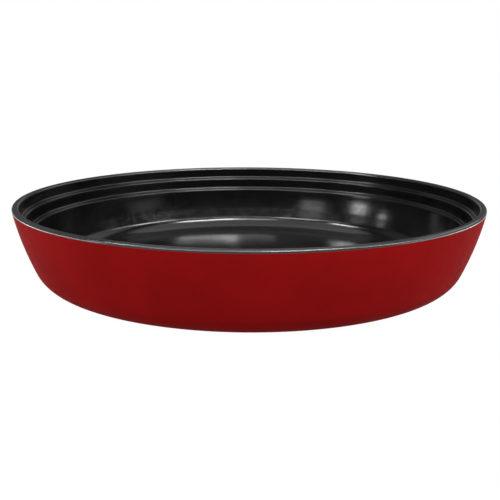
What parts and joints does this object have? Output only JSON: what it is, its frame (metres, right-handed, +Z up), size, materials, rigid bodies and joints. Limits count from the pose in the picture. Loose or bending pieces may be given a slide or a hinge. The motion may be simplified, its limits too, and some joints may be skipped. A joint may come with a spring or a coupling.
{
  "type": "cast iron pan",
  "caption": "Round handle-less cast iron pan with a low flared wall, stepped inner ledges below the lip, a flat floor, a bare foot ring and fired enamel coats.",
  "frame": {"origin": "centre of the foot ring, on the surface that the pan stands on", "axes": "+Z up along the axis of revolution; X and Y lie in the standing surface and are interchangeable"},
  "size_m": [0.28, 0.28, 0.048],
  "materials": {
    "cast_iron": "ground grey iron, bare",
    "red_enamel": "satin fired enamel, deep red",
    "lip_enamel": "satin dark grey ground coat",
    "black_enamel": "satin black enamel with a fine grain",
    "base_enamel": "matt black ground coat"
  },
  "bodies": {
    "root": {"iron_casting": "cast_iron", "exterior_enamel": "red_enamel", "rim_band": "lip_enamel", "interior_enamel": "black_enamel", "base_enamel": "base_enamel"}
  },
  "joints": []
}
